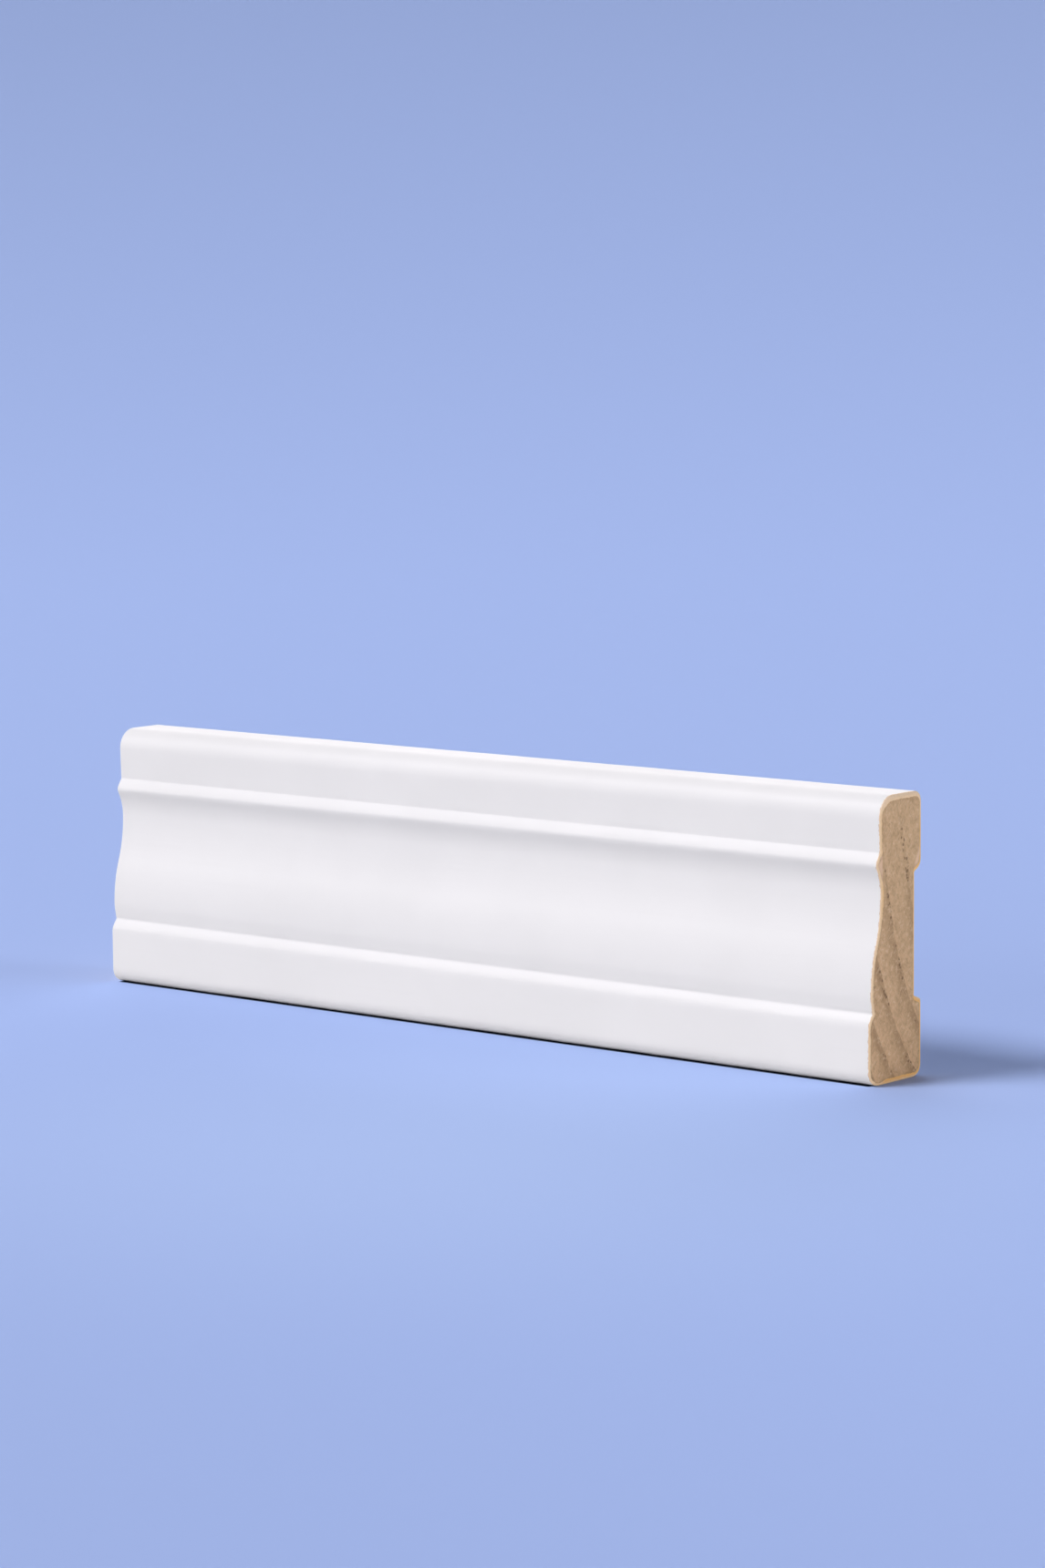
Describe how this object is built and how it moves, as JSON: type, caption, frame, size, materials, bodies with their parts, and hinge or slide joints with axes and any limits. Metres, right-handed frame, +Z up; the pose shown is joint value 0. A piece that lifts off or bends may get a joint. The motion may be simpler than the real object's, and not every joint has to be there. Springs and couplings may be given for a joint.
{
  "type": "casing moulding",
  "caption": "Short square-cut length of primed pine casing with a bead, an ogee and a stepped thick edge, for trimming a door or window opening.",
  "frame": {"origin": "middle of the underside, which is the thick long edge that the length stands on", "axes": "+X along the length, towards the cut end that the picture shows; +Y through the thickness, towards the relieved back that goes against the wall; +Z up across the width, from the thick edge to the thin edge"},
  "size_m": [0.21, 0.0176, 0.0571],
  "materials": {
    "casing": "satin white primer on the long faces, bare sawn pine on the two cut ends"
  },
  "bodies": {
    "root": {"casing": "casing"}
  },
  "joints": []
}
